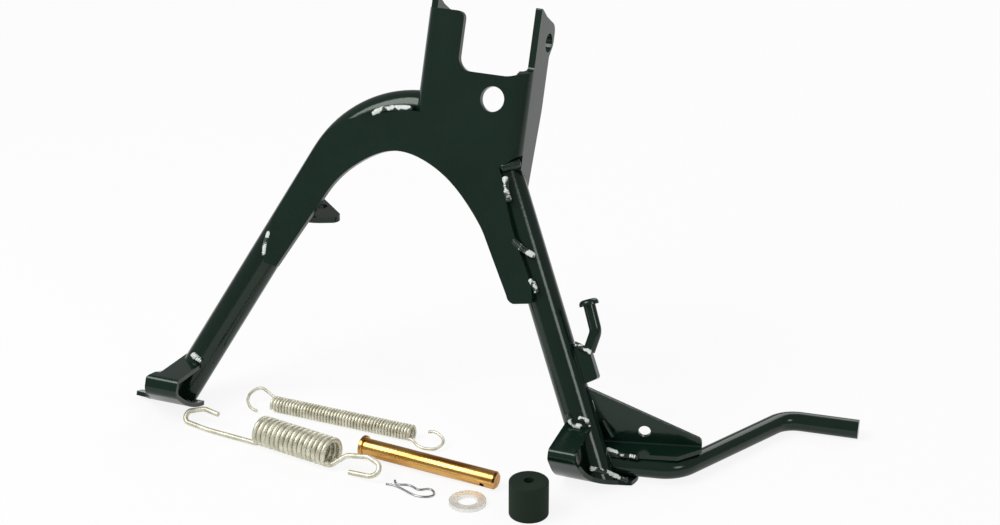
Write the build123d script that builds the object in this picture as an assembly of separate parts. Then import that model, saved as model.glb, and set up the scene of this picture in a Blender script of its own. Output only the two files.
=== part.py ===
from build123d import *
from math import atan2, cos, degrees, hypot, radians, sin, sqrt, tan
import os

# Motorcycle centre stand, welded from tube, bar and folded sheet, with its loose fitting kit.
# Millimetres. The stand is drawn upright: X runs along the pivot, Z up the legs, Y to the rear,
# with Y = 0 in the plane of the two leg tubes and Z = 0 at the soles. It is then leaned back
# until it rests on its soles and its lever. The origin is the middle of the pivot bore.

os.makedirs("parts", exist_ok=True)

# How the stand rests
lean = 21.0                 # backward lean of the legs when the stand rests on the floor, degrees

# Leg tubes
tube_od = 22.0
tube_wall = 2.5
leg_splay = 26.0            # each leg from the upright, degrees
left_leg_base = -192.0      # X where the left leg's axis meets the sole level
right_leg_base = 119.0
cross_height = 225.3        # axis of the level run at the top of the left tube
bend_radius = 74.0          # of that tube's axis
right_leg_rise = 1.7        # the right tube is cut off level, this far above that axis

# Folded arch plate
sheet = 4.5
ear_width = 77.0            # over the outer faces of the two ears
fold_radius = 4.0           # inside radius of the fold
ear_inner_edge = -11.5      # X of the left ear's inner edge
notch_rise = 27.5           # floor of the notch above the level run's axis
notch_radius = 9.0
arch_drop = 30.8            # top of the arch below the level run's axis
arch_centre = -47.0         # X of the top of the arch
arch_left_margin = 21.0     # arch edge inboard of the left leg's axis
arch_right_margin = 23.0
tip_height = 105.4          # lower end of the plate on the left leg
lobe_height = 107.9         # lower end of the plate on the right leg
access_hole = 16.5
access_hole_x = 15.4
access_hole_rise = 11.7     # above the level run's axis

# Ears and pivot
pivot_bore = 12.5
pivot_back = 13.5           # pivot axis behind the leg plane
pivot_rise = 25.2           # pivot axis above the notch's floor
ear_depth = 17.5            # rear edge of the ears behind the leg plane
ear_boss = 9.0              # ear metal behind the pivot's centre
ear_rise = 21.5             # top of the ears above the pivot's axis
ear_foot_drop = 46.5        # lower end of the right ear below the level run's axis

# Feet, each one folded sheet with a rocker sole
foot_sheet = 3.0
sole_radius = 45.0          # of the right foot's rocker
left_sole_radius = 66.0
sole_centre_back = -2.0     # right rocker's axis behind the leg plane
left_sole_back = -6.0
sole_low = 1.8              # lowest line of the right rocker
nose_front = 37.0           # right nose in front of the leg plane
left_nose_front = 41.5
nose_height = 22.8          # of the right foot
left_nose_height = 20.5
left_flange_rise = 9.0      # from the nose up to the leg
right_flange_rise = 13.3
foot_width = 18.0
left_foot_outer = 8.0       # foot's outer edge from the leg axis, at nose height
right_foot_outer = 2.3
left_sole_rear = 2.0
right_sole_rear = 17.0
left_tongue = 38.0          # outer tip of the sole from the leg axis at nose height
right_tongue = 30.0

# Lever and its gusset, laid out on the floor with Y measured back from the line of the soles
lever_od = 13.0
lever_start = (119.5, 11.8)
lever_elbow = (163.8, 21.5)
lever_knee = (209.3, 118.0)
lever_end = (258.5, 124.5)
elbow_radius = 24.0
knee_radius = 20.0
lever_lift = 10.2           # bar's axis above the floor at its start
gusset_sheet = 3.0
gusset_fold = 4.0           # outside radius of its fold
gusset_turn = 2.6           # between the gusset and the bar's first run, degrees
gusset_flange = 18.0
gusset_back = 15.1          # gusset behind the bar's axis
gusset_root_rise = 37.0     # above the flange, beside the leg
gusset_tip_rise = 5.0
gusset_reach = 60.5         # from the bar's start to the gusset's tip
gusset_hole = 8.0
gusset_hole_along = 23.0
gusset_hole_rise = 9.0

# Spring post, its bracket, and the stop tab
post_rod = 8.0
post_head = 13.0
post_head_thick = 4.0
post_base = 9.0             # foot of the post from the leg's outer side
post_knee = (4.2, 13.5)     # bend of the post, out and up from its foot
post_tip = (-2.6, 29.5)     # underside of its head, out and up from its foot
post_bend = 9.0
bracket_low = 63.9
bracket_height = 23.5
bracket_thick = 6.0
bracket_width = 10.5
tab_height = 139.7
tab_thick = 4.0
tab_side = 33.5             # from the leg axis to the rounded corner of the tab
tab_back = 31.0             # from the leg axis to the rear edge of the tab
tab_hole = 8.0
tab_hole_side = 14.6
tab_hole_back = 17.8

# Welds
bead = 2.4

# Kit: two return springs, pivot pin, spring clip, washer and rubber buffer
outer_wire = 3.4
outer_coil = 20.5
outer_gap = 0.3             # between the turns
outer_turns = 16
inner_wire = 2.0
inner_coil = 11.3
inner_pitch = 2.3
inner_turns = 46
pin_dia = 12.0
pin_head = 15.0
pin_head_thick = 2.6
pin_length = 99.0
pin_cross_hole = 3.3
pin_hole_inset = 8.5
clip_wire = 1.5
washer_od = 24.0
washer_id = 13.0
washer_thick = 2.5
buffer_od = 25.5
buffer_height = 24.5
buffer_bore = 6.8

gap = 0.1                   # between faces that meet
clear = 0.2                 # between pieces that meet on a curve

right_leg_top = cross_height + right_leg_rise
notch_floor = cross_height + notch_rise
pivot_height = notch_floor + pivot_rise
ear_top = pivot_height + ear_rise
ear_front_top = ear_top - 8.5
ear_foot = cross_height - ear_foot_drop
arch_top = cross_height - arch_drop
access_hole_height = cross_height + access_hole_rise

tube_r = tube_od / 2
plate_back = -(tube_r + gap)
plate_front = plate_back - sheet
ear_face = ear_width / 2
fold_outer = fold_radius + sheet
fold_x = ear_face - fold_outer
splay_sin = sin(radians(leg_splay))
splay_cos = cos(radians(leg_splay))
slope = tan(radians(leg_splay))
sole_centre = sole_low + sole_radius
lean_sin = sin(radians(lean))
lean_cos = cos(radians(lean))
# the floor under the leaned stand, measured from the drawing's own sole level
floor_lift = sole_radius - sole_centre * lean_cos + sole_centre_back * lean_sin
# the left rocker is flatter than the right one, so it stands on its rear edge
left_stand = (left_sole_rear * lean_sin - floor_lift) / lean_cos
left_sole_centre = left_stand + sqrt(left_sole_radius ** 2 - (left_sole_rear - left_sole_back) ** 2)
right_rocker = (sole_centre_back, sole_centre, sole_radius)
left_rocker = (left_sole_back, left_sole_centre, left_sole_radius)
# the pivot above the floor, and behind the line where the leg plane meets it
pivot_rest_back = pivot_back * lean_cos + pivot_height * lean_sin
pivot_rest_height = pivot_height * lean_cos - pivot_back * lean_sin + floor_lift


def leg_x(side, height):
    """X of a leg tube's axis at a height: side -1 left, 1 right."""
    if side < 0:
        return left_leg_base + slope * height
    return right_leg_base - slope * height


def to_rest(shape):
    """Leans an upright piece back, with the pivot at the origin."""
    return Rot(-lean, 0, 0) * Pos(0, -pivot_back, -pivot_height) * shape


def on_floor(shape):
    """Places a piece drawn in floor coordinates."""
    return Pos(0, -pivot_rest_back, -pivot_rest_height) * shape


def upright(shape):
    """Turns a piece drawn in floor coordinates into the upright drawing."""
    return Rot(lean, 0, 0) * Pos(0, 0, -floor_lift) * shape


def biggest(shape):
    """The main solid of a cut."""
    return max(shape.solids(), key=lambda s: s.volume)


def rounded(points, radii):
    """Closed outline with its corners rounded; a radius of 0 leaves one sharp."""
    return make_face(FilletPolyline(*points, radius=radii, close=True))


def slab(face, plane, low, high):
    """Extrudes a flat outline between two offsets along the plane's normal."""
    return extrude(plane.offset(low) * face, amount=high - low)


def bar_along(path, diameter):
    """Round bar along a path."""
    return sweep(Plane(origin=path @ 0, z_dir=path % 0) * Circle(diameter / 2), path=path)


def leg_rod(side, radius, low, high):
    """Round rod on a leg's axis between two heights."""
    axis = (-side * splay_sin, 0, splay_cos)
    rod = Cylinder(radius, (high - low) / splay_cos, align=(Align.CENTER, Align.CENTER, Align.MIN))
    return Plane(origin=(leg_x(side, low), 0, low), z_dir=axis) * rod


def weld(points, *pieces, size=bead):
    """Weld bead along points in the upright drawing, less the pieces it joins."""
    run = Pos(*points[0]) * Sphere(size)
    for a, b in zip(points, points[1:]):
        span = Vector(*b) - Vector(*a)
        stick = Cylinder(size, span.length, align=(Align.CENTER, Align.CENTER, Align.MIN))
        run += Plane(origin=a, z_dir=span) * stick
        run += Pos(*b) * Sphere(size)
    for piece in pieces:
        run -= piece
    return biggest(run)


def on_tube(side, height, across, proud=0.6):
    """Point a little proud of the front of a leg tube."""
    reach_out = tube_r + proud
    away = min(abs(across) * splay_cos, reach_out)
    return (leg_x(side, height) + across, -sqrt(reach_out ** 2 - away ** 2), height)


side_view = Plane.YZ
front_view = Plane.XZ

# Leg tubes

full_turn = radians(90 - leg_splay)
bend_low = cross_height - bend_radius * (1 - cos(full_turn))
cross_start = leg_x(-1, bend_low) + bend_radius * sin(full_turn)
far = 1000.0


def under_sole(rocker):
    """Everything from a rocker's axis down, except the room above its sole."""
    back, up, radius = rocker
    block = Pos(0, 0, up) * Box(far, 8 * radius, 8 * radius, align=(Align.CENTER, Align.CENTER, Align.MAX))
    return block - Pos(0, back, up) * Rot(0, 90, 0) * Cylinder(radius - foot_sheet - clear, far)



left_axis = FilletPolyline(
    (leg_x(-1, -10), 0, -10),
    (leg_x(-1, cross_height), 0, cross_height),
    (leg_x(1, cross_height), 0, cross_height),
    radius=bend_radius)
left_solid = bar_along(left_axis, tube_od) - leg_rod(1, tube_r + clear, cross_height - 60, cross_height + 60)
left_solid = biggest(left_solid - under_sole(left_rocker))
left_tube = biggest(left_solid - bar_along(left_axis, tube_od - 2 * tube_wall))

right_solid = leg_rod(1, tube_r, -10, right_leg_top + 20) - under_sole(right_rocker)
right_solid -= Pos(0, 0, right_leg_top) * Box(far, 200, 200, align=(Align.CENTER, Align.CENTER, Align.MIN))
right_solid = biggest(right_solid)
right_tube = biggest(right_solid - leg_rod(1, tube_r - tube_wall, -30, right_leg_top + 40))

# room the sheet parts leave round each tube
left_room = bar_along(left_axis, tube_od + 2 * clear)
right_room = leg_rod(1, tube_r + clear, -10, right_leg_top + 20)

# Arch plate: front

left_spring = (leg_x(-1, arch_top - 35) + arch_left_margin, arch_top - 35)
right_spring = (leg_x(1, arch_top - 59) - arch_right_margin, arch_top - 59)
tip = (leg_x(-1, tip_height) + arch_left_margin - 3.0, tip_height)
tip_outer = (leg_x(-1, tip_height + 1.5) + 8.0, tip_height + 1.5)
lobe_in = (leg_x(1, lobe_height + 4.5) - arch_right_margin + 2.0, lobe_height + 4.5)
lobe_turn = (lobe_in[0] + 1.9, lobe_height + 1.5)
lobe_low = (lobe_in[0] + 5.6, lobe_height)
lobe_side = (lobe_in[0] + 16.0, lobe_height + 1.9)
lobe_out = (lobe_in[0] + 17.6, lobe_height + 4.2)
left_line = Vector(left_spring[0] - tip[0], left_spring[1] - tip[1])
right_line = Vector(lobe_in[0] - right_spring[0], lobe_in[1] - right_spring[1])
shoulder = (-ear_face, cross_height - 3.0)
left_edge = (leg_x(-1, arch_top - 21) - 5.5, arch_top - 21)
left_hip = (leg_x(-1, arch_top - 55) - 5.0, arch_top - 55)
fold_low = arch_top + 1.5

outline = [
    Line((-fold_x, ear_front_top), (-fold_x, shoulder[1])),
    Line((-fold_x, shoulder[1]), shoulder),
    Spline(shoulder,
           (cross_start - 31.0, cross_height - 9.2),
           (leg_x(-1, bend_low) + 10.5, cross_height - 19),
           left_edge,
           tangents=[(-1, -0.05), (-splay_sin, -splay_cos)]),
    Line(left_edge, left_hip),
    Spline(left_hip, (leg_x(-1, tip_height + 21) - 0.6, tip_height + 21),
           (leg_x(-1, tip_height + 11) + 2.2, tip_height + 11), tip_outer,
           tangents=[(-splay_sin, -splay_cos), (0.2, -1)]),
    Line(tip_outer, tip),
    Line(tip, left_spring),
    Spline(left_spring, (arch_centre - 25.5, arch_top - 11.5), (arch_centre, arch_top),
           (arch_centre + 25, arch_top - 5.2), (arch_centre + 49, arch_top - 21.5),
           (arch_centre + 66, arch_top - 40.5), right_spring, tangents=[left_line, right_line]),
    Line(right_spring, lobe_in),
    ThreePointArc(lobe_in, lobe_turn, lobe_low),
    Line(lobe_low, lobe_side),
    ThreePointArc(lobe_side, (lobe_side[0] + 1.2, lobe_side[1] + 0.9), lobe_out),
    Spline(lobe_out, (leg_x(1, lobe_height + 20) - 0.6, lobe_height + 20),
           (leg_x(1, lobe_height + 39) - 2.0, lobe_height + 39),
           (leg_x(1, lobe_height + 67) - 0.2, lobe_height + 67),
           (leg_x(1, fold_low - 2) + 2.0, fold_low - 2), tangents=[(-0.05, 1), (-0.4, 1)]),
    Line((leg_x(1, fold_low - 2) + 2.0, fold_low - 2), (fold_x, fold_low)),
    Line((fold_x, fold_low), (fold_x, notch_floor + 2.0)),
    Spline((fold_x, notch_floor + 2.0), (fold_x - 3, notch_floor + 0.9), (fold_x - 9, notch_floor),
           tangents=[(-0.8, -0.4), (-1, 0)]),
    Line((fold_x - 9, notch_floor), (ear_inner_edge + notch_radius, notch_floor)),
    RadiusArc((ear_inner_edge + notch_radius, notch_floor), (ear_inner_edge, notch_floor + notch_radius),
              notch_radius),
    Line((ear_inner_edge, notch_floor + notch_radius), (ear_inner_edge, ear_front_top - 5)),
    RadiusArc((ear_inner_edge, ear_front_top - 5), (ear_inner_edge - 5, ear_front_top), -5),
    Line((ear_inner_edge - 5, ear_front_top), (-fold_x, ear_front_top)),
]
plate = slab(make_face(Wire(outline)), front_view, -plate_back, -plate_front)
access_axis = Pos(access_hole_x, plate_back, access_hole_height) * Rot(90, 0, 0)
plate -= access_axis * Cylinder(access_hole / 2, 4 * sheet)

# Arch plate: folds and ears


def ear(side, outline_points, radii, plan_low, front_cut):
    """One fold and ear: the bent section run upward, cut to the ear's side view."""
    section_face = make_face(Polyline(
        (side * fold_x, plate_front), (side * ear_face, plate_front), (side * ear_face, ear_depth + 12),
        (side * (ear_face - sheet), ear_depth + 12), (side * (ear_face - sheet), plate_back),
        (side * fold_x, plate_back), close=True))
    corners = section_face.vertices()
    outer = [v for v in corners if abs(abs(v.X) - ear_face) < 0.01 and abs(v.Y - plate_front) < 0.01]
    section_face = fillet(outer, fold_outer)
    inner = [v for v in section_face.vertices()
             if abs(abs(v.X) - ear_face + sheet) < 0.01 and abs(v.Y - plate_back) < 0.01]
    section_face = fillet(inner, fold_radius)
    channel = slab(section_face, Plane.XY, plan_low, ear_top + 5)
    keep = slab(rounded(outline_points, radii), side_view, -far / 2, far / 2)
    blank = channel & keep
    if front_cut:
        blank -= front_cut
    return biggest(blank)


head_back = pivot_back + ear_boss
ear_crown = [(plate_front + 8.0, ear_top), (4.0, pivot_height + 16.5), (head_back, pivot_height + 12.0),
             (head_back, pivot_height - 1.0), (ear_depth, pivot_height - 9.0)]
crown_radii = [1.0, 6.0, 7.0, 6.0, 6.0]
right_view = [(plate_front - 1, fold_low - 5), (plate_front - 1, notch_floor + 2),
              (plate_front + 8.0, notch_floor + 6)]
right_view += ear_crown + [(ear_depth, cross_height + 8), (11.0, ear_foot), (-6.0, ear_foot + 15)]
right_ear_radii = [0, 0, 3.0] + crown_radii + [60.0, 2.5, 0]
left_view = [(plate_front - 1, cross_height - 20), (plate_front - 1, ear_front_top),
             (plate_front + 8.0, ear_front_top)]
left_view += ear_crown + [(ear_depth, cross_height - 20)]
left_ear_radii = [0, 0, 0] + crown_radii + [0]
# the right fold starts above the relief beside the leg, the ear itself reaches further down
relief = slab(make_face(Polyline(
    (fold_x - 1, fold_low - 30), (fold_x - 1, fold_low - 0.7), (fold_x, fold_low),
    (fold_x + 4.3, fold_low + 4.5),
    (ear_face + 1, fold_low + 8), (ear_face + 1, fold_low - 30), close=True)),
    front_view, -(plate_front + fold_outer), -plate_front + 1)
left_relief = Box(4 * fold_outer, 200, 60, align=(Align.CENTER, Align.CENTER, Align.MAX))
left_relief = Pos(-ear_face, 0, shoulder[1]) * left_relief
right_ear = ear(1, right_view, right_ear_radii, ear_foot - 1, relief)
left_ear = ear(-1, left_view, left_ear_radii, cross_height - 21, left_relief)
pivot_hole = Pos(0, pivot_back, pivot_height) * Rot(0, 90, 0) * Cylinder(pivot_bore / 2, 2 * ear_width)
plate = plate + right_ear + left_ear - pivot_hole - left_room - right_room
plate = biggest(plate)

# Feet


def foot(nose, flange_rise, chin, chin_radius, rocker, sole_rear):
    """Folded strip of a foot: top flange, nose and rocker sole."""
    centre, radius = rocker[:2], rocker[2]
    nose_reach = -nose[0]
    top_back = (2.0, nose[1] + flange_rise * (nose_reach + 2.0) / (nose_reach - tube_r))
    to_chin = Vector(chin[0] - centre[0], chin[1] - centre[1])
    swing = degrees(atan2(to_chin.Y, to_chin.X)) + degrees(
        atan2(sqrt(max(to_chin.length ** 2 - radius ** 2, 1e-6)), radius))
    touch = (centre[0] + radius * cos(radians(swing)), centre[1] + radius * sin(radians(swing)))
    rear = (sole_rear, centre[1] - sqrt(radius ** 2 - (sole_rear - centre[0]) ** 2))
    middle = (centre[0] - 6.0, centre[1] - sqrt(radius ** 2 - 36.0))
    front = FilletPolyline(top_back, nose, chin, touch, radius=[3.6, chin_radius])
    strip = Wire(front.edges() + [ThreePointArc(touch, middle, rear).edge()])
    profile = make_face(strip.offset_2d(foot_sheet, side=Side.LEFT, closed=True))
    return slab(profile, side_view, -far / 2, far / 2)


def shaped(blank, axis, split, front_edges, plan_points):
    """Cuts a foot strip to its front view above a level and to its plan below."""
    tall = [(axis + x, z) for x, z in front_edges]
    tall.append((tall[-1][0], tall[0][1]))
    upper = slab(make_face(Polyline(*tall, close=True)), front_view, -far / 2, far / 2)
    plan = make_face(Polyline(*[(axis + x, y) for x, y in plan_points], close=True))
    tongue = [v for v in plan.vertices() if -15 < v.Y < 16 and abs(v.X - axis) > 24]
    lower = slab(fillet(tongue, 1.8), Plane.XY, -20, split)
    return blank & (upper + lower)


low_front = -left_nose_front - 10
left_axis_x = leg_x(-1, left_nose_height)
left_inner = foot_width - left_foot_outer
left_flare = left_foot_outer + 6.0
left_split = left_nose_height - 8.5
left_blank = foot((-left_nose_front, left_nose_height), left_flange_rise,
                  (-left_nose_front - 0.3, left_nose_height - 11.3), 7.0, left_rocker, left_sole_rear)
left_foot = biggest(shaped(
    left_blank, left_axis_x, left_split,
    [(-left_flare, left_split), (-left_flare, left_nose_height - 1.0),
     (-left_flare + 2.5, left_nose_height + 2.2),
     (-left_foot_outer, left_nose_height + 2.4), (-left_foot_outer, 80), (left_inner, 80)],
    [(-left_flare, low_front), (-left_flare, -33), (-left_flare - 5, -21), (-left_tongue + 9, -10.5),
     (-left_tongue, -8.5), (-left_tongue, -1.0), (-left_flare - 8, left_sole_rear + 2),
     (left_inner, left_sole_rear + 2),
     (left_inner, low_front)]) - (left_room - under_sole(left_rocker)))
right_axis_x = leg_x(1, nose_height)
right_inner = foot_width - right_foot_outer - 0.6
right_flare = right_foot_outer + 2.2
right_split = nose_height - 8.5
right_blank = foot((-nose_front, nose_height), right_flange_rise, (-nose_front + 0.2, nose_height - 6.6), 5.0,
                   right_rocker, right_sole_rear)
# the sole widens evenly from the nose to the tongue under the lever
right_foot = biggest(shaped(
    right_blank, right_axis_x, right_split,
    [(right_flare, right_split), (right_foot_outer, nose_height), (right_foot_outer, 80), (-right_inner, 80)],
    [(right_flare, low_front), (right_flare + 0.3, -31), (right_flare + 2.1, -24), (right_flare + 5.5, -14.5),
     (right_flare + 11.5, -5.5), (right_tongue - 7.5, 1.0), (right_tongue + 0.5, 5.5),
     (right_tongue + 1.5, 14.0), (right_tongue + 1.0, right_sole_rear + 2),
     (-right_inner, right_sole_rear + 2), (-right_inner, low_front)])
    - (right_room - under_sole(right_rocker)))

# Lever bar, in floor coordinates

reach = hypot(lever_end[0] - lever_start[0], lever_end[1] - lever_start[1])


def bar_point(plan):
    """Point of the bar's axis: it slopes evenly down to where its end rests on the floor."""
    ahead = ((plan[0] - lever_start[0]) * (lever_end[0] - lever_start[0])
             + (plan[1] - lever_start[1]) * (lever_end[1] - lever_start[1])) / reach ** 2
    return (plan[0], plan[1], lever_lift + (lever_od / 2 - lever_lift) * ahead)


lever_axis = FilletPolyline(*[bar_point(p) for p in (lever_start, lever_elbow, lever_knee, lever_end)],
                            radius=[elbow_radius, knee_radius])
lever_floor = bar_along(lever_axis, lever_od)

# Gusset between the bar and the leg, in floor coordinates: X along the bar, Y back from it

along = Vector(lever_elbow[0] - lever_start[0], lever_elbow[1] - lever_start[1], 0).normalized()
along = along.rotate(Axis.Z, gusset_turn)
bar_frame = Plane(origin=(*lever_start, 0), x_dir=along, z_dir=(0, 0, 1))
under = lever_lift + lever_od / 2 + gap
over = under + gusset_sheet
gusset_front = gusset_back - gusset_flange
angle_face = make_face(Polyline(
    (gusset_front, under), (gusset_back, under), (gusset_back, over + gusset_root_rise + 5),
    (gusset_back - gusset_sheet, over + gusset_root_rise + 5), (gusset_back - gusset_sheet, over),
    (gusset_front, over), close=True))
angle_face = fillet([v for v in angle_face.vertices()
                     if abs(v.X - gusset_back) < 0.01 and abs(v.Y - under) < 0.01], gusset_fold)
angle_face = fillet([v for v in angle_face.vertices()
                     if abs(v.X - gusset_back + gusset_sheet) < 0.01 and abs(v.Y - over) < 0.01],
                    gusset_fold - gusset_sheet)
angle_strip = slab(angle_face, side_view, -40, gusset_reach + 40)
web_view = rounded([(-19.0, under - 1), (-19.0, over + gusset_root_rise + 3.1),
                    (gusset_reach, over + gusset_tip_rise),
                    (gusset_reach, under - 1)], [0, 0, 4.0, 0])
gusset_local = angle_strip & slab(web_view, front_view, -60, 60)
# the flange is trimmed back towards the tip
gusset_local -= slab(make_face(Polyline(
    (0.72 * gusset_reach, gusset_front - 1), (0.75 * gusset_reach, gusset_front),
    (gusset_reach, gusset_back - 6),
    (gusset_reach + 1, gusset_front - 1), close=True)), Plane.XY, under - 1, over + 1)
gusset_local -= Pos(gusset_hole_along, gusset_back, over + gusset_hole_rise) * Rot(90, 0, 0) * Cylinder(
    gusset_hole / 2, 6 * gusset_sheet)
gusset = biggest(upright(bar_frame * gusset_local) - right_room)
lever = biggest(upright(lever_floor) - right_room - right_foot)



def by_bar(ahead, back, height):
    """Upright position of a point given beside the bar, on the floor."""
    place = bar_frame.from_local_coords((ahead, back, height))
    return tuple(upright(Vertex(place.X, place.Y, place.Z)).center())


# Spring post and its bracket, outboard of the right leg


def outside(height):
    """X of the right leg's outer side at a height."""
    return leg_x(1, height) + tube_r / splay_cos


bracket_high = bracket_low + bracket_height
bracket_corners = [
    (outside(bracket_low) - 6, bracket_low), (outside(bracket_low) + 1, bracket_low),
    (outside(bracket_low + 4.5) + bracket_width, bracket_low + 4.5),
    (outside(bracket_high - 3) + bracket_width, bracket_high - 3), (outside(bracket_high) - 6, bracket_high + 2)]
bracket_face = rounded(bracket_corners, [0, 0, 2.0, 1.0, 0])
bracket = biggest(slab(bracket_face, front_view, -bracket_thick / 2, bracket_thick / 2) - right_room)
post_x = outside(bracket_high) + post_base
post_foot_height = bracket_high - 10
post_axis = FilletPolyline(
    (post_x, 0, post_foot_height), (post_x + post_knee[0], 0, bracket_high - 3 + post_knee[1]),
    (post_x + post_tip[0], 0, bracket_high - 3 + post_tip[1]), radius=post_bend)
post = bar_along(post_axis, post_rod)
crest = (bracket_corners[3][1] - bracket_corners[4][1]) / (bracket_corners[3][0] - bracket_corners[4][0])
crest_left = bracket_corners[4][1] - 20 * crest + gap
crest_right = bracket_corners[3][1] + 20 * crest + gap
post -= slab(make_face(Polyline(
    (bracket_corners[4][0] - 20, crest_left), (bracket_corners[3][0] + 20, crest_right),
    (bracket_corners[3][0] + 20, bracket_low - 20), (bracket_corners[4][0] - 20, bracket_low - 20), close=True)),
    front_view, -40, 40)
post_way = post_axis % 1
head_disc = Plane(origin=post_axis @ 1, z_dir=post_way) * Cylinder(
    post_head / 2, post_head_thick, align=(Align.CENTER, Align.CENTER, Align.MIN))
head_disc = fillet(head_disc.edges().filter_by(GeomType.CIRCLE).sort_by(Axis(post_axis @ 1, post_way))[-1],
                   0.7 * post_head_thick)
post = biggest(post + head_disc)

# Stop tab behind the left leg, level when the stand rests

tab_plane = Plane(origin=(leg_x(-1, tab_height), 0, tab_height), x_dir=(1, 0, 0),
                  z_dir=(0, -lean_sin, lean_cos))
tab_face = rounded(
    [(0.0, -5.0), (0.6 * tab_side, -1.0), (0.93 * tab_side, 4.0), (tab_side, 9.5), (0.3 * tab_side, tab_back),
     (-2.0, tab_back), (-8.0, 0.7 * tab_back), (-8.0, 0.0)],
    [0, 30.0, 5.0, 5.0, 6.0, 4.0, 4.0, 0])
tab = slab(tab_face, tab_plane, -tab_thick / 2, tab_thick / 2)
tab -= tab_plane * Pos(tab_hole_side, tab_hole_back, 0) * Cylinder(tab_hole / 2, 4 * tab_thick)
tab = biggest(tab - left_room)

# Kit, in floor coordinates


def wire_through(points, diameter):
    """Round wire following a smooth curve."""
    return bar_along(Spline(*points), diameter)


def spring_frame(left, right, lift, tilt):
    """Plane with X along a spring lying on the floor and Y across its hooks, tilted up to the rear."""
    run = Vector(right[0] - left[0], right[1] - left[1], 0).normalized()
    across = Vector(-run.Y, run.X, 0) * cos(radians(tilt)) + Vector(0, 0, 1) * sin(radians(tilt))
    return Plane(origin=(left[0], left[1], lift), x_dir=run, z_dir=run.cross(across)), run


def outer_spring():
    coil_r = (outer_coil - outer_wire) / 2
    pitch = outer_wire + outer_gap
    swing = 25.0
    length = pitch * (outer_turns - 2 * swing / 360)
    frame, run = spring_frame((-109.8, -31.9), (-49.0, -42.4), outer_coil / 2, 50.0)
    # the coil's own frame: Z along it, X towards the low front side where both hooks leave
    coil_frame = Plane(origin=frame.origin, x_dir=-frame.y_dir, z_dir=run)
    helix = Helix(pitch, length, coil_r)
    coil = Rot(0, 0, swing) * sweep(
        Plane(origin=helix @ 0, z_dir=helix % 0) * Circle(outer_wire / 2), path=helix, is_frenet=True)
    coil = coil_frame * coil
    lap = swing + 4.0
    rise = pitch * 4.0 / 360
    enter = coil_frame.from_local_coords((coil_r * cos(radians(lap)), coil_r * sin(radians(lap)), rise))
    leave = coil_frame.from_local_coords(
        (coil_r * cos(radians(lap)), -coil_r * sin(radians(lap)), length - rise))
    knee = -1 / cos(radians(swing))

    def at(start, ahead, across):
        return frame.from_local_coords((start + ahead * coil_r, across * coil_r))

    left_hook = FilletPolyline(
        enter, at(0, -0.04, knee), at(0, -4.8, -1.26), at(0, -7.3, -1.14), at(0, -7.05, -0.3), at(0, -5.7, 0.25),
        at(0, -4.3, 0.15), radius=[2.6, 20.0, 4.2, 4.0, 8.0])
    right_hook = FilletPolyline(
        leave, at(length, 0.04, knee), at(length, 1.25, 0.12), at(length, 3.1, 0.52), at(length, 4.75, 0.05),
        at(length, 3.95, -0.86), at(length, 1.95, -1.05), radius=[2.4, 7.0, 9.0, 5.0, 9.0])
    # the hooks are a hair thicker than the coil, so that each closes over its end
    hook_wire = outer_wire + 0.12
    return coil + bar_along(left_hook, hook_wire) + bar_along(right_hook, hook_wire)


def inner_spring():
    radius = inner_coil / 2
    length = inner_pitch * inner_turns
    frame, run = spring_frame((-122.9, 12.3), (-15.7, 9.4), radius, 25.0)
    # the closed coil is a sleeve with one round ridge for every turn of wire
    ridges = [(radius - inner_wire, 0)]
    for turn in range(inner_turns):
        ridges.append((radius - 0.4, inner_pitch * turn))
        ridges.append((radius, inner_pitch * (turn + 0.5)))
    ridges += [(radius - 0.4, length), (radius - inner_wire, length)]
    sleeve = revolve(make_face(Plane.XZ * Polyline(*ridges, close=True)), Axis.Z)
    sleeve = Plane(origin=frame.origin, x_dir=frame.y_dir, z_dir=run) * sleeve
    middle = 1 - inner_wire / 2 / radius

    def through(start, points):
        places = [frame.from_local_coords((start + ahead * radius, across * radius)) for ahead, across in points]
        return wire_through(places, inner_wire)

    left_hook = through(0, [(0.55, middle), (-0.25, middle + 0.08), (-1.6, 1.5), (-2.65, 1.83), (-3.5, 1.1),
                            (-3.6, 0.0), (-3.1, -0.85), (-2.4, -1.38), (-1.65, -1.55)])
    right_hook = through(length, [(-0.55, -middle), (0.25, -middle - 0.15), (1.3, -1.6), (2.7, -1.72),
                                  (3.65, -1.35), (4.0, -0.3), (3.2, 0.55), (2.25, 0.8), (1.7, 0.62)])
    return sleeve + left_hook + right_hook


def pivot_pin():
    tip_lift = pin_dia / 2
    head_lift = pin_head / 2
    tilt = degrees(atan2(head_lift - tip_lift, pin_length))
    body = Cylinder(pin_dia / 2, pin_length, align=(Align.CENTER, Align.CENTER, Align.MIN))
    body = chamfer(body.edges().filter_by(GeomType.CIRCLE).sort_by(Axis.Z)[-1], 1.2)
    disc = Cylinder(pin_head / 2, pin_head_thick, align=(Align.CENTER, Align.CENTER, Align.MIN))
    disc = chamfer(disc.edges().filter_by(GeomType.CIRCLE), 0.5)
    pin = body + disc
    cross_axis = Pos(0, 0, pin_length - pin_hole_inset) * Rot(0, 0, 25) * Rot(90, 0, 0)
    pin -= cross_axis * Cylinder(pin_cross_hole / 2, 2 * pin_dia)
    return Pos(-40.0, -22.0, head_lift) * Rot(0, 0, -4.0) * Rot(0, 90 + tilt, 0) * pin


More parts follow.
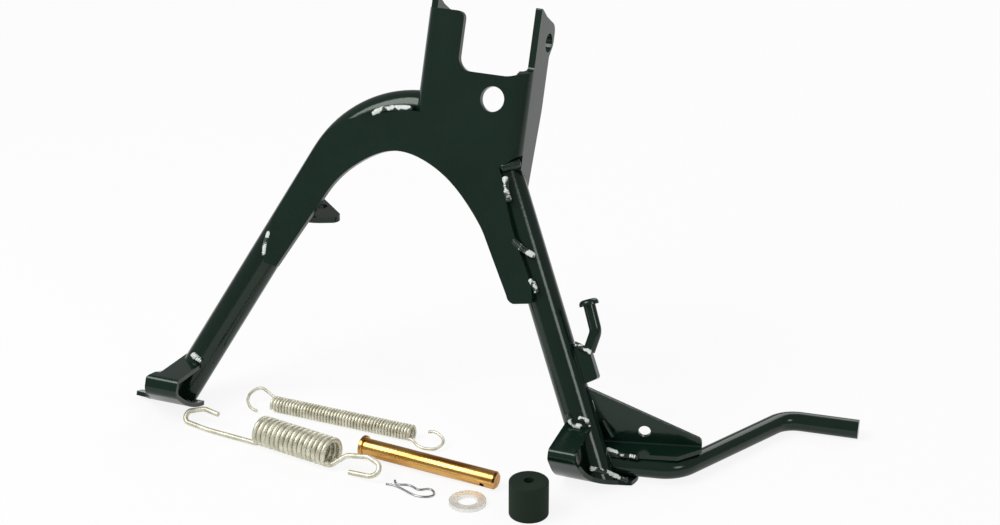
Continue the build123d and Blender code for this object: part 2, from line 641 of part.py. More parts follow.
clip_path = [(-9.9, -51.3), (6.0, -54.6), (19.5, -57.0), (24.2, -52.6), (19.0, -46.6), (13.1, -49.8),
             (4.9, -47.0), (-2.2, -48.6), (-6.3, -44.8)]
pin_clip = wire_through([(x, y, clip_wire / 2) for x, y in clip_path], clip_wire)
washer_blank = Cylinder(washer_od / 2, washer_thick, align=(Align.CENTER, Align.CENTER, Align.MIN))
washer = Pos(48.0, -52.7, 0) * (washer_blank - Cylinder(washer_id / 2, 3 * washer_thick))
buffer_blank = Cylinder(buffer_od / 2, buffer_height, align=(Align.CENTER, Align.CENTER, Align.MIN))
buffer_blank = fillet(buffer_blank.edges().filter_by(GeomType.CIRCLE), 1.2)
buffer = Pos(89.0, -50.5, 0) * (buffer_blank - Cylinder(buffer_bore / 2, 3 * buffer_height))

# Weld beads, in the upright drawing

front = plate_front + 1.2
edge_run = [(-28.2, -8.3), (-21.5, -4.9), (-14.2, -3.2), (-7.4, -2.3), (-2.0, -1.3)]
plate_left_weld = weld(
    [(-ear_face + x, front + 0.1, cross_height + z) for x, z in edge_run], plate, left_solid, size=2.3)
plate_edge_weld = weld(
    [(leg_x(-1, tip_height + rise) + across, front, tip_height + rise)
     for rise, across in [(6.5, 4.4), (13.5, 1.2), (21.5, -1.3)]], plate, left_solid, size=2.0)
plate_right_weld_1 = weld(
    [(leg_x(1, fold_low + z) + x, front, fold_low + z) for z, x in [(-8.5, 4.0), (-15.0, 1.9), (-22.0, 1.6)]],
    plate, right_solid)
plate_right_weld_2 = weld(
    [(leg_x(1, lobe_height + z) + x, front + back, lobe_height + z)
     for z, x, back in [(40.0, -3.6, -0.6), (36.3, 0.4, 0.0), (32.8, 5.6, 2.6)]], plate, right_solid)
plate_right_weld_3 = weld(
    [(leg_x(1, lobe_height + z) + x, front, lobe_height + z) for z, x in [(17.0, 0.0), (13.6, 1.2), (10.4, 1.4)]],
    plate, right_solid, size=2.1)
fold_weld = weld(
    [(leg_x(1, fold_low) + 5.0, front + 1.0, fold_low - 0.6), (fold_x + 0.5, front + 1.6, fold_low + 0.4),
     (ear_face - 2.6, plate_front + 7.0, fold_low + 3.6)], plate, right_solid, size=2.2)
left_flange_top = left_nose_height + left_flange_rise
left_foot_weld = weld(
    [on_tube(-1, left_flange_top + z, x) for z, x in [(5.6, -3.0), (3.9, 0.5), (2.3, 4.4)]],
    left_foot, left_solid)
right_flange_top = nose_height + right_flange_rise
right_foot_weld = weld(
    [on_tube(1, right_flange_top + z, x) for z, x in [(6.2, -4.0), (3.6, -3.4), (1.3, -2.2), (0.6, 2.6)]],
    right_foot, right_solid, size=2.0)
right_foot_weld_2 = weld(
    [on_tube(1, right_flange_top + z, x) for z, x in [(5.6, 4.0), (3.6, 8.6), (1.6, 8.4)]],
    right_foot, right_solid, size=1.9)
bracket_weld = weld(
    [(outside(bracket_high) + 1.5, -2.6, bracket_high), (post_x - 2.0, -4.0, bracket_high - 1.2),
     (post_x + 3.4, -3.2, bracket_high - 3.4)], bracket, right_solid, post, size=2.2)
gusset_weld = weld(
    [(outside(40) + 1.0, 8.4, 40), (outside(35.5) + 2.0, 9.2, 35.5), (outside(31) + 3.4, 10.0, 31)],
    gusset, right_solid, size=2.0)
lever_sole_weld = weld(
    [(right_axis_x + x, y, sole_low + z)
     for x, y, z in [(7.5, -12.6, 9.6), (12.6, -10.6, 9.2), (17.2, -4.6, 7.6), (22.0, -0.6, 5.6), (27.5, 2.2, 4.2)]],
    right_foot, right_solid, lever, size=1.9)
flange_weld_1 = weld([by_bar(-2.0, 2.0, over), by_bar(4.5, -0.6, over - 0.4), by_bar(11.0, -3.0, over - 1.4)],
                     gusset, lever, right_solid, size=1.9)
flange_weld_2 = weld([by_bar(15.0, -3.4, over - 1.4), by_bar(19.5, -3.9, over - 1.8)], gusset, lever, size=1.8)

upright_pieces = {
    "left_leg_tube": left_tube,
    "right_leg_tube": right_tube,
    "arch_plate": plate,
    "left_foot": left_foot,
    "right_foot": right_foot,
    "lever_bar": lever,
    "lever_gusset": gusset,
    "spring_hook_bracket": bracket,
    "spring_hook_post": post,
    "stop_tab": tab,
    "plate_left_weld": plate_left_weld,
    "plate_edge_weld": plate_edge_weld,
    "plate_right_weld_1": plate_right_weld_1,
    "plate_right_weld_2": plate_right_weld_2,
    "plate_right_weld_3": plate_right_weld_3,
    "fold_weld": fold_weld,
    "left_foot_weld": left_foot_weld,
    "right_foot_weld_1": right_foot_weld,
    "right_foot_weld_2": right_foot_weld_2,
    "bracket_weld": bracket_weld,
    "gusset_weld": gusset_weld,
    "lever_sole_weld": lever_sole_weld,
    "flange_weld_1": flange_weld_1,
    "flange_weld_2": flange_weld_2,
}
floor_pieces = {
    "return_spring_outer": outer_spring(),
    "return_spring_inner": inner_spring(),
    "pivot_pin": pivot_pin(),
    "pin_clip": pin_clip,
    "pin_washer": washer,
    "stop_buffer": buffer,
}
for name, shape in upright_pieces.items():
    export_step(to_rest(shape), f"parts/{name}.step")
for name, shape in floor_pieces.items():
    export_step(on_floor(shape), f"parts/{name}.step")
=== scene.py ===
# %% [markdown]
# A motorcycle's centre stand is welded from steel tube, folded sheet and bar, and coated in one go
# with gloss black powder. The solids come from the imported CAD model, so each piece is already the
# right size and in its place. Blender's job is what the solids leave out: wound wire, rippled welds,
# finishes and light.

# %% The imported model
from math import cos, radians, sin

import bmesh
import bpy
from mathutils import Matrix, Vector


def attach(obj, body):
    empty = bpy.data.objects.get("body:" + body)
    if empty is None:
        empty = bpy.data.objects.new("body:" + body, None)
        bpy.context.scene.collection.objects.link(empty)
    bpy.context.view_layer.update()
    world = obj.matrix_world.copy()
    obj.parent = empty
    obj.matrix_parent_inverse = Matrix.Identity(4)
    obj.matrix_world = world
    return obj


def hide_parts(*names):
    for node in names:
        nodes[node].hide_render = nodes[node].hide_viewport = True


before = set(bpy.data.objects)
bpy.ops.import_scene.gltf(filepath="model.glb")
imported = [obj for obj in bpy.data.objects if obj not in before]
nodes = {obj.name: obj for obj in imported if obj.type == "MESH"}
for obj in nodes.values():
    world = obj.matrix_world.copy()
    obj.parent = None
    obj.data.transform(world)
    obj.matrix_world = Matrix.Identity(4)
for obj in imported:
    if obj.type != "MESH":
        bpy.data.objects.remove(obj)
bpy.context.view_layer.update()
MM = 0.001
print("pieces in the model:", len(nodes))

# %% [markdown]
# The stand was drawn upright and then leaned back, so places on it are easiest to give upright: X
# along the pivot, Y behind the plane of the legs, Z up the legs. Places of the loose kit are given
# on the floor. Both are turned into the model's frame, whose origin is the middle of the pivot bore.

# %% Places
LEAN = radians(21.0)
PIVOT_BACK, PIVOT_HEIGHT = 13.5, 278.0
PIVOT_REST_BACK, PIVOT_REST_HEIGHT = 112.2296, 255.2891


def on_stand(x, y, z):
    """A point of the upright drawing, in millimetres, as a point of the model."""
    y, z = y - PIVOT_BACK, z - PIVOT_HEIGHT
    return Vector((x, y * cos(LEAN) + z * sin(LEAN), z * cos(LEAN) - y * sin(LEAN))) * MM


def on_floor(x, y, z):
    """A point measured on the floor, in millimetres, as a point of the model."""
    return Vector((x, y - PIVOT_REST_BACK, z - PIVOT_REST_HEIGHT)) * MM


print("floor level:", round(on_floor(0, 0, 0).z, 4))

# %% [markdown]
# The photograph was taken from the front and a little to the right, from above, with a long lens
# that keeps the legs nearly parallel. The camera repeats that: a lens of 83 mm on a 36 mm sensor,
# about a metre and a half away, turned 21.9 degrees to the left and tipped 24.6 degrees down.

# %% Camera
CAMERA_PLACE = (541.35, -1224.4, 751.0)
TIP_DOWN, TURN_LEFT = 24.6, 21.9
camera = bpy.data.objects.new("camera", bpy.data.cameras.new("camera"))
bpy.context.scene.collection.objects.link(camera)
bpy.context.scene.camera = camera
camera.data.sensor_width = 36.0
camera.data.lens = 82.8
camera.data.clip_end = 50.0
camera.location = on_floor(*CAMERA_PLACE)
camera.rotation_euler = (radians(90 - TIP_DOWN), 0.0, radians(TURN_LEFT))
bpy.context.scene.view_settings.view_transform = "Standard"
print("camera at", [round(c, 3) for c in camera.location])

# %% [markdown]
# Shader maths reads best as ordinary expressions. A small class wraps a socket, so that adding or
# multiplying makes the Math nodes, and one method of the finish adds any other node.


# %% Shader maths
class Value:
    """A number that varies over a surface."""

    def __init__(self, finish, socket):
        self.finish, self.socket = finish, socket

    def _join(self, operation, a, b):
        node = self.finish.add("ShaderNodeMath", {"operation": operation}, {0: a, 1: b})
        return Value(self.finish, node.outputs[0])

    def __add__(self, other):
        return self._join("ADD", self, other)

    def __radd__(self, other):
        return self._join("ADD", other, self)

    def __mul__(self, other):
        return self._join("MULTIPLY", self, other)


class Finish:
    """A material with a Principled shader and a short way to add nodes to it."""

    def __init__(self, name, **constants):
        self.material = bpy.data.materials.new(name)
        self.material.use_nodes = True
        self.tree = self.material.node_tree
        self.shader = self.tree.nodes["Principled BSDF"]
        for socket, value in constants.items():
            self.shader.inputs[socket.replace("_", " ")].default_value = value
        self.place = self.add("ShaderNodeTexCoord").outputs["Object"]

    def add(self, kind, settings=None, values=None):
        """Adds a node: its settings first, then a value or a link for each named socket."""
        node = self.tree.nodes.new(kind)
        for key, value in (settings or {}).items():
            setattr(node, key, value)
        for key, value in (values or {}).items():
            if isinstance(value, Value):
                value = value.socket
            if isinstance(value, bpy.types.NodeSocket):
                self.tree.links.new(value, node.inputs[key])
            else:
                node.inputs[key].default_value = value
        return node

    def noise(self, scale, detail=2.0, rough=0.5, stretch=(1, 1, 1)):
        """Soft random pattern; scale counts its patches in a metre."""
        turned = self.add("ShaderNodeMapping", {}, {"Vector": self.place, "Scale": stretch})
        node = self.add("ShaderNodeTexNoise", {}, {
            "Vector": turned.outputs[0], "Scale": scale, "Detail": detail, "Roughness": rough})
        return Value(self, node.outputs[0])

    def ramp(self, value, low, high):
        """0 below low, 1 above high, smooth between."""
        node = self.add("ShaderNodeMapRange", {"interpolation_type": "SMOOTHSTEP"}, {
            "Value": value, "From Min": low, "From Max": high})
        return Value(self, node.outputs[0])

    def mix(self, share, a, b):
        """Colour between a and b."""
        node = self.add("ShaderNodeMix", {"data_type": "RGBA"}, {0: share, 6: a, 7: b})
        return node.outputs[2]

    def bump(self, height, strength, distance):
        """Normal bent by a height; the distance is in metres."""
        values = {"Height": height, "Strength": strength, "Distance": distance}
        return self.add("ShaderNodeBump", {}, values).outputs[0]

    def facing(self, x, y, z):
        """How far the surface faces a direction of the model, from -1 to 1."""
        normal = self.add("ShaderNodeNewGeometry").outputs["Normal"]
        node = self.add("ShaderNodeVectorMath", {"operation": "DOT_PRODUCT"}, {0: normal, 1: (x, y, z)})
        return Value(self, node.outputs["Value"])

    def feed(self, **sockets):
        """Links varying values into the shader."""
        for name, value in sockets.items():
            if isinstance(value, Value):
                value = value.socket
            self.tree.links.new(value, self.shader.inputs[name.replace("_", " ")])
        return self.material


# %% [markdown]
# Powder coat is sprayed as dry powder and baked until it flows. It is hard and glossy, but never
# flat: it keeps a faint orange-peel ripple about two millimetres across, and its colour here is a
# black with some green in it. One recipe serves tube, sheet and bar, with the ripple a little
# stronger on the sheet.


# %% Powder coat
def powder_coat(name, peel, tint):
    finish = Finish(name, Roughness=0.3, IOR=1.45, Specular_Tint=(0.90, 1.0, 0.90, 1))
    ripple = finish.noise(420, 3.0)
    cloud = finish.noise(28, 3.0)
    fine = finish.noise(2600, 2.0)
    deep = (0.0022 * tint, 0.0100 * tint, 0.0066 * tint, 1)
    pale = (0.0056 * tint, 0.0180 * tint, 0.0124 * tint, 1)
    colour = finish.mix(cloud, deep, pale)
    rough = 0.09 + cloud * 0.08 + fine * 0.03
    normal = finish.bump(ripple, peel, 0.0004)
    return finish.feed(Base_Color=colour, Roughness=rough, Normal=normal)


coat_tube = powder_coat("coat_tube", 0.10, 1.0)
coat_sheet = powder_coat("coat_sheet", 0.14, 1.1)
coat_bar = powder_coat("coat_bar", 0.12, 1.0)
print("powder coats ready")

# %% [markdown]
# The welds went under the same powder, which pools between the ripples. Bright patches are painted
# into the colour where the ripples face up and forward, as painted highlights, so a weld reads as a dark blob
# with crisp bright patches.

# %% Weld finish with painted highlights
weld = Finish("coat_weld_painted_highlight", Roughness=0.2, IOR=1.5, Specular_Tint=(0.88, 1.0, 0.90, 1))
highlight_spots = weld.noise(190, 1.0, 0.5)
# painted highlight: a pale colour where the ripples face up and forward, broken into spots by noise
highlight_side = weld.facing(0.1, -0.55, 0.83)
painted_highlight = weld.ramp(highlight_spots + highlight_side * 0.16, 0.60, 0.65)
weld.feed(
    Base_Color=weld.mix(painted_highlight, (0.010, 0.020, 0.016, 1), (0.72, 0.76, 0.73, 1)),
    Roughness=0.16 + painted_highlight * 0.12,
    Normal=weld.bump(weld.noise(500, 2.0), 0.2, 0.0005))
coat_weld_painted_highlight = weld.material

# %% [markdown]
# The springs are zinc plated, which leaves a pale, slightly cloudy metal with a warm cast. The pin
# has the yellow passivate that turns zinc gold, uneven and faintly streaked along its length.


# %% Plated metals
def plated(name, deep, pale, rough, scale, stretch):
    finish = Finish(name, Metallic=1.0)
    cloud = finish.noise(scale, 4.0, 0.6, stretch)
    fine = finish.noise(3000, 2.0)
    return finish.feed(
        Base_Color=finish.mix(finish.ramp(cloud, 0.35, 0.65), deep, pale),
        Roughness=rough + cloud * 0.12 + fine * 0.06,
        Normal=finish.bump(fine, 0.06, 0.0001))


zinc = plated("spring_zinc", (0.60, 0.58, 0.45, 1), (0.83, 0.81, 0.69, 1), 0.44, 160, (1, 1, 1))
gold = plated("pin_gold", (0.34, 0.13, 0.02, 1), (0.74, 0.43, 0.13, 1), 0.12, 60, (0.3, 3, 3))
clip_steel = plated("clip_steel", (0.30, 0.31, 0.32, 1), (0.50, 0.51, 0.52, 1), 0.25, 200, (1, 1, 1))
washer_zinc = plated("washer_zinc", (0.84, 0.84, 0.79, 1), (0.96, 0.96, 0.91, 1), 0.40, 120, (1, 1, 1))

# %% [markdown]
# The buffer is moulded rubber: matt, almost black, with a very fine grain and a faint bloom.

# %% Rubber
rubber = Finish("buffer_rubber", Roughness=0.75, IOR=1.35, Specular_Tint=(0.82, 1.0, 0.82, 1))
grain = rubber.noise(1800, 3.0)
bloom = rubber.noise(90, 3.0)
rubber.feed(
    Base_Color=rubber.mix(bloom, (0.005, 0.012, 0.007, 1), (0.012, 0.022, 0.014, 1)),
    Roughness=0.66 + bloom * 0.2,
    Normal=rubber.bump(grain, 0.18, 0.0002))
buffer_rubber = rubber.material

# %% [markdown]
# Every piece of the CAD model that stays in view gets its finish. Its mesh isn't touched.

# %% Finishes on the CAD pieces
FINISHES = {
    "left_leg_tube": coat_tube, "right_leg_tube": coat_tube, "arch_plate": coat_sheet,
    "left_foot": coat_sheet, "right_foot": coat_sheet, "lever_bar": coat_bar,
    "lever_gusset": coat_sheet, "spring_hook_bracket": coat_sheet, "spring_hook_post": coat_bar,
    "stop_tab": coat_sheet, "return_spring_outer": zinc, "return_spring_inner": zinc,
    "pivot_pin": gold, "pin_clip": clip_steel, "pin_washer": washer_zinc, "stop_buffer": buffer_rubber,
}
for name, node in nodes.items():
    # unlisted pieces are welds, which get the weld finish with its painted highlights
    finish = FINISHES.get(name, coat_weld_painted_highlight)
    node.data.materials.clear()
    node.data.materials.append(finish)
print("finished pieces:", sorted(nodes))

# %% [markdown]
# The springs are wound from wire, so a spring is one round section that follows a path. Geometry
# Nodes suits that: the two hooks come in as a few guide points each, the tree smooths them, adds the
# close-wound coil as a spiral between them, and sweeps one circle along it all. The coil's sizes are
# named inputs of the tree. The result is made a plain mesh before it joins the model.


# %% Geometry Nodes helpers
def new_tree(name, inputs):
    """Node group with a geometry input and output and named number inputs."""
    tree = bpy.data.node_groups.new(name, "GeometryNodeTree")
    tree.interface.new_socket("Geometry", in_out="INPUT", socket_type="NodeSocketGeometry")
    for label, kind in inputs.items():
        tree.interface.new_socket(label, in_out="INPUT", socket_type=kind)
    tree.interface.new_socket("Geometry", in_out="OUTPUT", socket_type="NodeSocketGeometry")
    return tree, tree.nodes.new("NodeGroupInput"), tree.nodes.new("NodeGroupOutput")


def put(tree, kind, settings=None, values=None):
    """Adds a node to a tree: its settings first, then a value or a link for each named socket."""
    node = tree.nodes.new(kind)
    for key, value in (settings or {}).items():
        setattr(node, key, value)
    for key, value in (values or {}).items():
        if isinstance(value, bpy.types.NodeSocket):
            tree.links.new(value, node.inputs[key])
        else:
            node.inputs[key].default_value = value
    return node


def finish_tree(tree, group_out, geometry, material):
    """Ends a tree in Realize Instances and Set Material."""
    real = put(tree, "GeometryNodeRealizeInstances", {}, {"Geometry": geometry})
    dressed = put(tree, "GeometryNodeSetMaterial", {}, {"Geometry": real.outputs[0], "Material": material})
    tree.links.new(dressed.outputs[0], group_out.inputs["Geometry"])


def path_object(name, paths):
    """Mesh of bare edges through lists of points, as the input of a tree."""
    points, edges = [], []
    for path in paths:
        start = len(points)
        points += [tuple(p) for p in path]
        edges += [(start + i, start + i + 1) for i in range(len(path) - 1)]
    mesh = bpy.data.meshes.new(name)
    mesh.from_pydata(points, edges, [])
    holder = bpy.data.objects.new(name, mesh)
    bpy.context.scene.collection.objects.link(holder)
    return holder


def grow(holder, tree, values, place=None):
    """Runs a tree on an object and keeps the result as the object's own mesh, in place."""
    modifier = holder.modifiers.new("grow", "NODES")
    modifier.node_group = tree
    for item in tree.interface.items_tree:
        if item.in_out == "INPUT" and item.name in values:
            modifier[item.identifier] = values[item.name]
    graph = bpy.context.evaluated_depsgraph_get()
    grown = bpy.data.meshes.new_from_object(holder.evaluated_get(graph), depsgraph=graph)
    holder.modifiers.remove(modifier)
    holder.data = grown
    if place is not None:
        grown.transform(place)
    for layer in [a.name for a in grown.attributes if a.name == "bend"]:
        grown.attributes.remove(grown.attributes[layer])
    return holder


# %% [markdown]
# A spring's own frame has Z along the coil and X towards the floor's front, in the slanting plane
# that both hooks of a spring lie in. The heavy spring's hooks are bent with tools, so they are
# straight runs between round bends: each corner point carries its own bend radius, and Fillet Curve
# rounds it. The light spring's hooks are looped freely, and a smooth curve through points suits them.


# %% Spring tree
def spring_tree(name, material):
    tree, group_in, group_out = new_tree(name, {
        "Wire": "NodeSocketFloat", "Coil Radius": "NodeSocketFloat", "Length": "NodeSocketFloat",
        "Turns": "NodeSocketFloat", "Start": "NodeSocketFloat", "Bent": "NodeSocketBool"})
    hooks = put(tree, "GeometryNodeMeshToCurve", {}, {"Mesh": group_in.outputs["Geometry"]})
    bend = put(tree, "GeometryNodeInputNamedAttribute", {"data_type": "FLOAT"}, {"Name": "bend"})
    bent = put(tree, "GeometryNodeFilletCurve", {"mode": "POLY"}, {
        "Curve": hooks.outputs[0], "Radius": bend.outputs[0], "Count": 12, "Limit Radius": True})
    smooth = put(tree, "GeometryNodeCurveSplineType", {"spline_type": "BEZIER"}, {"Curve": hooks.outputs[0]})
    eased = put(tree, "GeometryNodeCurveSetHandles", {"handle_type": "AUTO"}, {"Curve": smooth.outputs[0]})
    fine = put(tree, "GeometryNodeSetSplineResolution", {}, {"Geometry": eased.outputs[0], "Resolution": 14})
    ends = put(tree, "GeometryNodeSwitch", {"input_type": "GEOMETRY"}, {
        "Switch": group_in.outputs["Bent"], "False": fine.outputs[0], "True": bent.outputs[0]})
    spiral = put(tree, "GeometryNodeCurveSpiral", {}, {
        "Resolution": 36, "Rotations": group_in.outputs["Turns"],
        "Start Radius": group_in.outputs["Coil Radius"], "End Radius": group_in.outputs["Coil Radius"],
        "Height": group_in.outputs["Length"], "Reverse": False})
    spin = put(tree, "ShaderNodeCombineXYZ", {}, {"Z": group_in.outputs["Start"]})
    turned = put(tree, "GeometryNodeTransform", {}, {
        "Geometry": spiral.outputs[0], "Rotation": spin.outputs[0]})
    both = put(tree, "GeometryNodeJoinGeometry")
    tree.links.new(ends.outputs[0], both.inputs[0])
    tree.links.new(turned.outputs[0], both.inputs[0])
    ring = put(tree, "GeometryNodeCurvePrimitiveCircle", {"mode": "RADIUS"}, {
        "Resolution": 14, "Radius": group_in.outputs["Wire"]})
    swept = put(tree, "GeometryNodeCurveToMesh", {}, {
        "Curve": both.outputs[0], "Profile Curve": ring.outputs[0], "Fill Caps": True})
    soft = put(tree, "GeometryNodeSetShadeSmooth", {}, {"Geometry": swept.outputs[0]})
    finish_tree(tree, group_out, soft.outputs[0], material)
    return tree


def spring(name, node, left, right, lift, tilt, wire, coil_radius, pitch, turns, start, hooks, bends,
           material):
    """Winds a spring in its own frame, lays it on the floor and lets it stand for the CAD spring.

    The coil's axis runs from left to right, both given on the floor, at the height lift. The plane of
    the hooks tilts up to the back by tilt degrees. The coil's first turn starts at start degrees.
    """
    run = Vector((right[0] - left[0], right[1] - left[1], 0.0)).normalized()
    across = Vector((-run.y, run.x, 0.0)) * cos(radians(tilt)) + Vector((0, 0, 1)) * sin(radians(tilt))
    down = -across
    side = run.cross(down)
    place = Matrix.Translation(on_floor(left[0], left[1], lift)) @ Matrix((
        (down.x, side.x, run.x, 0), (down.y, side.y, run.y, 0), (down.z, side.z, run.z, 0), (0, 0, 0, 1)))
    wound = path_object(name, [[Vector(p) * MM for p in hook] for hook in hooks])
    bend = wound.data.attributes.new("bend", "FLOAT", "POINT")
    for index, radius in enumerate(r for hook in bends for r in hook):
        bend.data[index].value = radius * MM
    tree = spring_tree(name, material)
    grow(wound, tree, {"Wire": wire / 2 * MM, "Coil Radius": coil_radius * MM, "Length": pitch * turns * MM,
                       "Turns": turns, "Start": radians(start), "Bent": bool(bends)}, place)
    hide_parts(node)
    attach(wound, "root")
    print(name, "faces:", len(wound.data.polygons))
    return wound


# %% [markdown]
# The heavy spring has sixteen turns with a hair between them. Its end turns stop 25 degrees short,
# where the wire leaves for the hooks, and each hook overlaps the coil's end by four degrees more.

# %% The heavy spring
COIL_R, WIRE, PITCH, WHOLE_TURNS = 8.55, 3.4, 3.7, 16
SWING, LAP = 25.0, 29.0
HEAVY_LEFT, HEAVY_RIGHT, HEAVY_LIFT, HEAVY_TILT = (-109.8, -31.9), (-49.0, -42.4), 10.25, 50.0
turns = WHOLE_TURNS - 2 * SWING / 360
run_length = PITCH * turns
lap_x, lap_y = COIL_R * cos(radians(LAP)), COIL_R * sin(radians(LAP))
lap_z = PITCH * (LAP - SWING) / 360
knee = 1 / cos(radians(SWING))


def corners(start, pairs):
    """Hook corners, given along and across in coil radii, in the spring's own frame."""
    return [(-across * COIL_R, 0.0, start + ahead * COIL_R) for ahead, across in pairs]


left_hook = [(lap_x, lap_y, lap_z)] + corners(0.0, [
    (-0.04, -knee), (-4.8, -1.26), (-7.3, -1.14), (-7.05, -0.3), (-5.7, 0.25), (-4.3, 0.15)])
right_hook = [(lap_x, -lap_y, run_length - lap_z)] + corners(run_length, [
    (0.04, -knee), (1.25, 0.12), (3.1, 0.52), (4.75, 0.05), (3.95, -0.86), (1.95, -1.05)])
left_bends = [0, 2.6, 20, 4.2, 4, 8, 0]
right_bends = [0, 2.4, 7, 9, 5, 9, 0]
spring("spring_outer", "return_spring_outer", HEAVY_LEFT, HEAVY_RIGHT, HEAVY_LIFT, HEAVY_TILT, WIRE, COIL_R,
       PITCH, turns, SWING, [left_hook, right_hook], [left_bends, right_bends], zinc)

# %% The light spring
LIGHT_R, LIGHT_WIRE, LIGHT_PITCH, LIGHT_TURNS = 5.65, 2.0, 2.3, 46
LIGHT_LEFT, LIGHT_RIGHT, LIGHT_TILT = (-122.9, 12.3), (-15.7, 9.4), 25.0
middle = 1 - LIGHT_WIRE / 2 / LIGHT_R
light_length = LIGHT_PITCH * LIGHT_TURNS


def loop(start, pairs):
    """Points of a looped hook, given along and across in the coil's outer radii."""
    return [(-across * LIGHT_R, 0.0, start + ahead * LIGHT_R) for ahead, across in pairs]


left_loop = loop(0.0, [(0.55, middle), (-0.25, middle + 0.08), (-1.6, 1.5), (-2.65, 1.83), (-3.5, 1.1),
                       (-3.6, 0.0), (-3.1, -0.85), (-2.4, -1.38), (-1.65, -1.55)])
right_loop = loop(light_length, [(-0.55, -middle), (0.25, -middle - 0.15), (1.3, -1.6), (2.7, -1.72),
                                 (3.65, -1.35), (4.0, -0.3), (3.2, 0.55), (2.25, 0.8), (1.7, 0.62)])
spring("spring_inner", "return_spring_inner", LIGHT_LEFT, LIGHT_RIGHT, LIGHT_R, LIGHT_TILT, LIGHT_WIRE,
       LIGHT_R - LIGHT_WIRE / 2, LIGHT_PITCH, LIGHT_TURNS, 0.0, [left_loop, right_loop], [], zinc)

# %% [markdown]
# A hand-laid weld is a row of small frozen ripples, one every millimetre or so. Geometry Nodes lays
# a flattened ball at even steps along each weld's path, turned to follow it and a little uneven in
# size, and close enough to overlap the next one.


# %% Weld tree
def weld_tree(material):
    tree, group_in, group_out = new_tree("weld_run", {
        "Bead": "NodeSocketFloat", "Step": "NodeSocketFloat", "Seed": "NodeSocketInt"})
    curve = put(tree, "GeometryNodeMeshToCurve", {}, {"Mesh": group_in.outputs["Geometry"]})
    smooth = put(tree, "GeometryNodeCurveSplineType", {"spline_type": "BEZIER"}, {"Curve": curve.outputs[0]})
    eased = put(tree, "GeometryNodeCurveSetHandles", {"handle_type": "AUTO"}, {"Curve": smooth.outputs[0]})
    even = put(tree, "GeometryNodeResampleCurve", {"mode": "LENGTH"}, {
        "Curve": eased.outputs[0], "Length": group_in.outputs["Step"]})
    ball = put(tree, "GeometryNodeMeshUVSphere", {}, {
        "Segments": 14, "Rings": 9, "Radius": group_in.outputs["Bead"]})
    tangent = put(tree, "GeometryNodeInputTangent")
    turn = put(tree, "FunctionNodeAlignRotationToVector", {"axis": "Z"}, {"Vector": tangent.outputs[0]})
    size = put(tree, "FunctionNodeRandomValue", {"data_type": "FLOAT"}, {
        2: 0.88, 3: 1.0, "Seed": group_in.outputs["Seed"]})
    flat = put(tree, "ShaderNodeCombineXYZ", {}, {
        "X": size.outputs[1], "Y": size.outputs[1], "Z": 0.66})
    ripples = put(tree, "GeometryNodeInstanceOnPoints", {}, {
        "Points": even.outputs[0], "Instance": ball.outputs[0], "Rotation": turn.outputs[0],
        "Scale": flat.outputs[0]})
    soft = put(tree, "GeometryNodeSetShadeSmooth", {}, {"Geometry": ripples.outputs[0]})
    finish_tree(tree, group_out, soft.outputs[0], material)
    return tree


# %% The welds
# each weld: its ripples' radius, and its path on the upright stand
WELDS = {
    "plate_left_weld": (2.3, [(-66.7, -14.3, 217.0), (-60.0, -14.3, 220.4), (-52.7, -14.3, 222.1),
                              (-45.9, -14.3, 223.0), (-40.5, -14.3, 224.0)]),
    "plate_edge_weld": (2.0, [(-133.0, -14.4, 111.9), (-132.8, -14.4, 118.9), (-131.4, -14.4, 126.9)]),
    "plate_right_weld_1": (2.4, [(31.5, -14.4, 187.5), (32.6, -14.4, 181.0), (35.7, -14.4, 174.0)]),
    "plate_right_weld_2": (2.4, [(43.3, -15.0, 147.9), (49.1, -14.4, 144.2), (56.0, -11.8, 140.7)]),
    "plate_right_weld_3": (2.1, [(58.1, -14.4, 124.9), (60.9, -14.4, 121.5), (62.7, -14.4, 118.3)]),
    "fold_weld": (3.8, [(28.4, -12.6, 194.4), (31.0, -11.8, 195.6), (35.6, -8.4, 198.2)]),
    "left_foot_weld": (2.4, [(-177.9, -11.3, 35.1), (-175.2, -11.6, 33.4), (-172.1, -10.9, 31.8)]),
    "right_foot_weld_1": (2.0, [(94.4, -11.0, 42.3), (96.2, -11.2, 39.7), (98.6, -11.4, 37.4),
                                (103.7, -11.4, 36.7)]),
    "right_foot_weld_2": (1.9, [(102.7, -11.0, 41.7), (108.2, -8.7, 39.7), (109.0, -8.8, 37.7)]),
    "bracket_weld": (2.2, [(90.1, -2.6, 87.4), (95.6, -4.0, 86.2), (101.0, -3.2, 84.0)]),
    "gusset_weld": (2.0, [(112.7, 8.4, 40.0), (115.9, 9.2, 35.5), (119.5, 10.0, 31.0)]),
    "lever_sole_weld": (1.9, [(115.4, -12.6, 11.4), (120.5, -10.6, 11.0), (125.1, -4.6, 9.4),
                              (129.9, -0.6, 7.4), (135.4, 2.2, 6.0)]),
}
# and on the floor
FLOOR_WELDS = {
    "flange_weld_1": (1.9, [(117.05, 13.2, 19.8), (124.0, 12.4, 19.4), (130.9, 11.7, 18.4)]),
    "flange_weld_2": (1.8, [(134.9, 12.4, 18.4), (139.3, 13.1, 18.0)]),
}
# these two lie in shade and only fill a corner, so they stay as dark as the sheet
FILLS = {"fold_weld", "gusset_weld"}
RIPPLE_STEP = 1.15
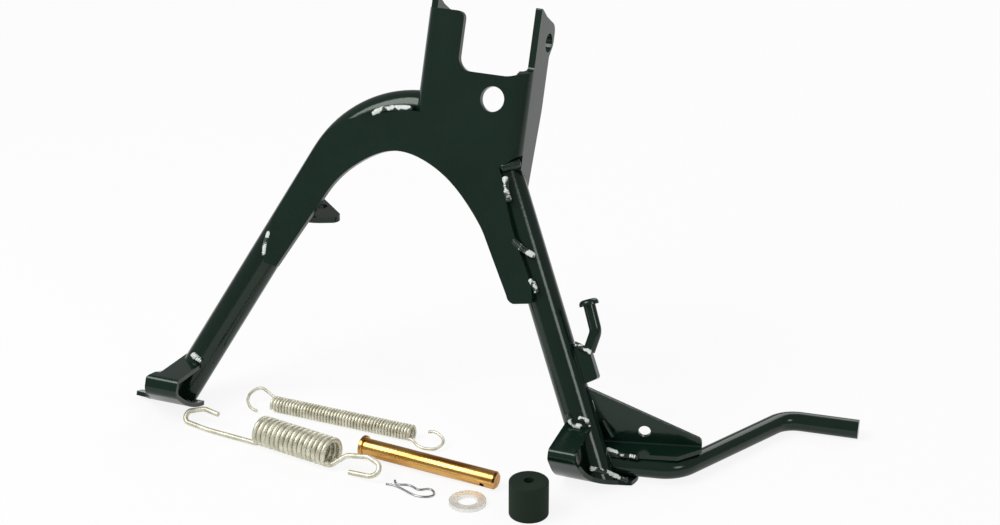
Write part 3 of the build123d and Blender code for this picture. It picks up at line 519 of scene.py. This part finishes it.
# ripple runs get the weld finish with painted highlights; fills get the plain sheet coat
ripple_tree, fill_tree = weld_tree(coat_weld_painted_highlight), weld_tree(coat_sheet)
runs = [(name, size, [on_stand(*p) for p in path]) for name, (size, path) in sorted(WELDS.items())]
runs += [(name, size, [on_floor(*p) for p in path]) for name, (size, path) in sorted(FLOOR_WELDS.items())]
for seed, (name, size, path) in enumerate(runs):
    run = path_object(name + "_ripples", [path])
    tree = fill_tree if name in FILLS else ripple_tree
    grow(run, tree, {"Bead": size * MM, "Step": RIPPLE_STEP * MM, "Seed": seed})
    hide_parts(name)
    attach(run, "root")
print("weld runs:", len(runs))

# %% [markdown]
# The photograph is cut out on white. A white floor shows the camera mostly its own white, so it
# stays clean, and only a little of the light that falls on it, so the object keeps a faint shadow.


# %% Floor and light
FLOOR_SIZE, FLOOR_DROP = 6.0, 0.0002
WHITE_SEEN, WHITE_MIRRORED = 0.88, 0.5


def floor_finish():
    finish = Finish("floor_white", Roughness=0.9)
    finish.shader.inputs["Base Color"].default_value = (0.86, 0.86, 0.86, 1)
    glow = finish.add("ShaderNodeEmission", {}, {"Color": (1, 1, 1, 1), "Strength": 1.0})
    rays = finish.add("ShaderNodeLightPath")
    seen = Value(finish, rays.outputs["Is Camera Ray"])
    mirrored = Value(finish, rays.outputs["Is Glossy Ray"])
    share = seen * WHITE_SEEN + mirrored * WHITE_MIRRORED
    blend = finish.add("ShaderNodeMixShader", {}, {0: share, 1: finish.shader.outputs[0], 2: glow.outputs[0]})
    output = next(n for n in finish.tree.nodes if n.type == "OUTPUT_MATERIAL")
    finish.tree.links.new(blend.outputs[0], output.inputs["Surface"])
    return finish.material


sheet = bmesh.new()
bmesh.ops.create_grid(sheet, x_segments=1, y_segments=1, size=FLOOR_SIZE)
floor_mesh = bpy.data.meshes.new("floor")
sheet.to_mesh(floor_mesh)
sheet.free()
floor = bpy.data.objects.new("floor", floor_mesh)
bpy.context.scene.collection.objects.link(floor)
floor.location = (0.0, 0.0, on_floor(0, 0, 0).z - FLOOR_DROP)
floor_mesh.materials.append(floor_finish())

world = bpy.data.worlds.new("studio")
bpy.context.scene.world = world
world.use_nodes = True
world.node_tree.nodes["Background"].inputs["Color"].default_value = (1, 1, 1, 1)
world.node_tree.nodes["Background"].inputs["Strength"].default_value = 0.32


STAND_MIDDLE = Vector((0.0, -0.05, -0.15))


def softbox(name, place, size, power):
    """Square area lamp aimed at the stand: place and size in metres, power in watts."""
    lamp = bpy.data.lights.new(name, "AREA")
    lamp.energy, lamp.size = power, size
    holder = bpy.data.objects.new(name, lamp)
    bpy.context.scene.collection.objects.link(holder)
    holder.location = place
    aim = STAND_MIDDLE - Vector(place)
    holder.rotation_euler = aim.to_track_quat("-Z", "Y").to_euler()


softbox("key", (-0.9, -1.1, 1.5), 1.3, 34)
softbox("fill", (1.6, -0.8, 0.9), 0.55, 5)
softbox("rim", (0.3, 1.6, 1.1), 1.2, 12)
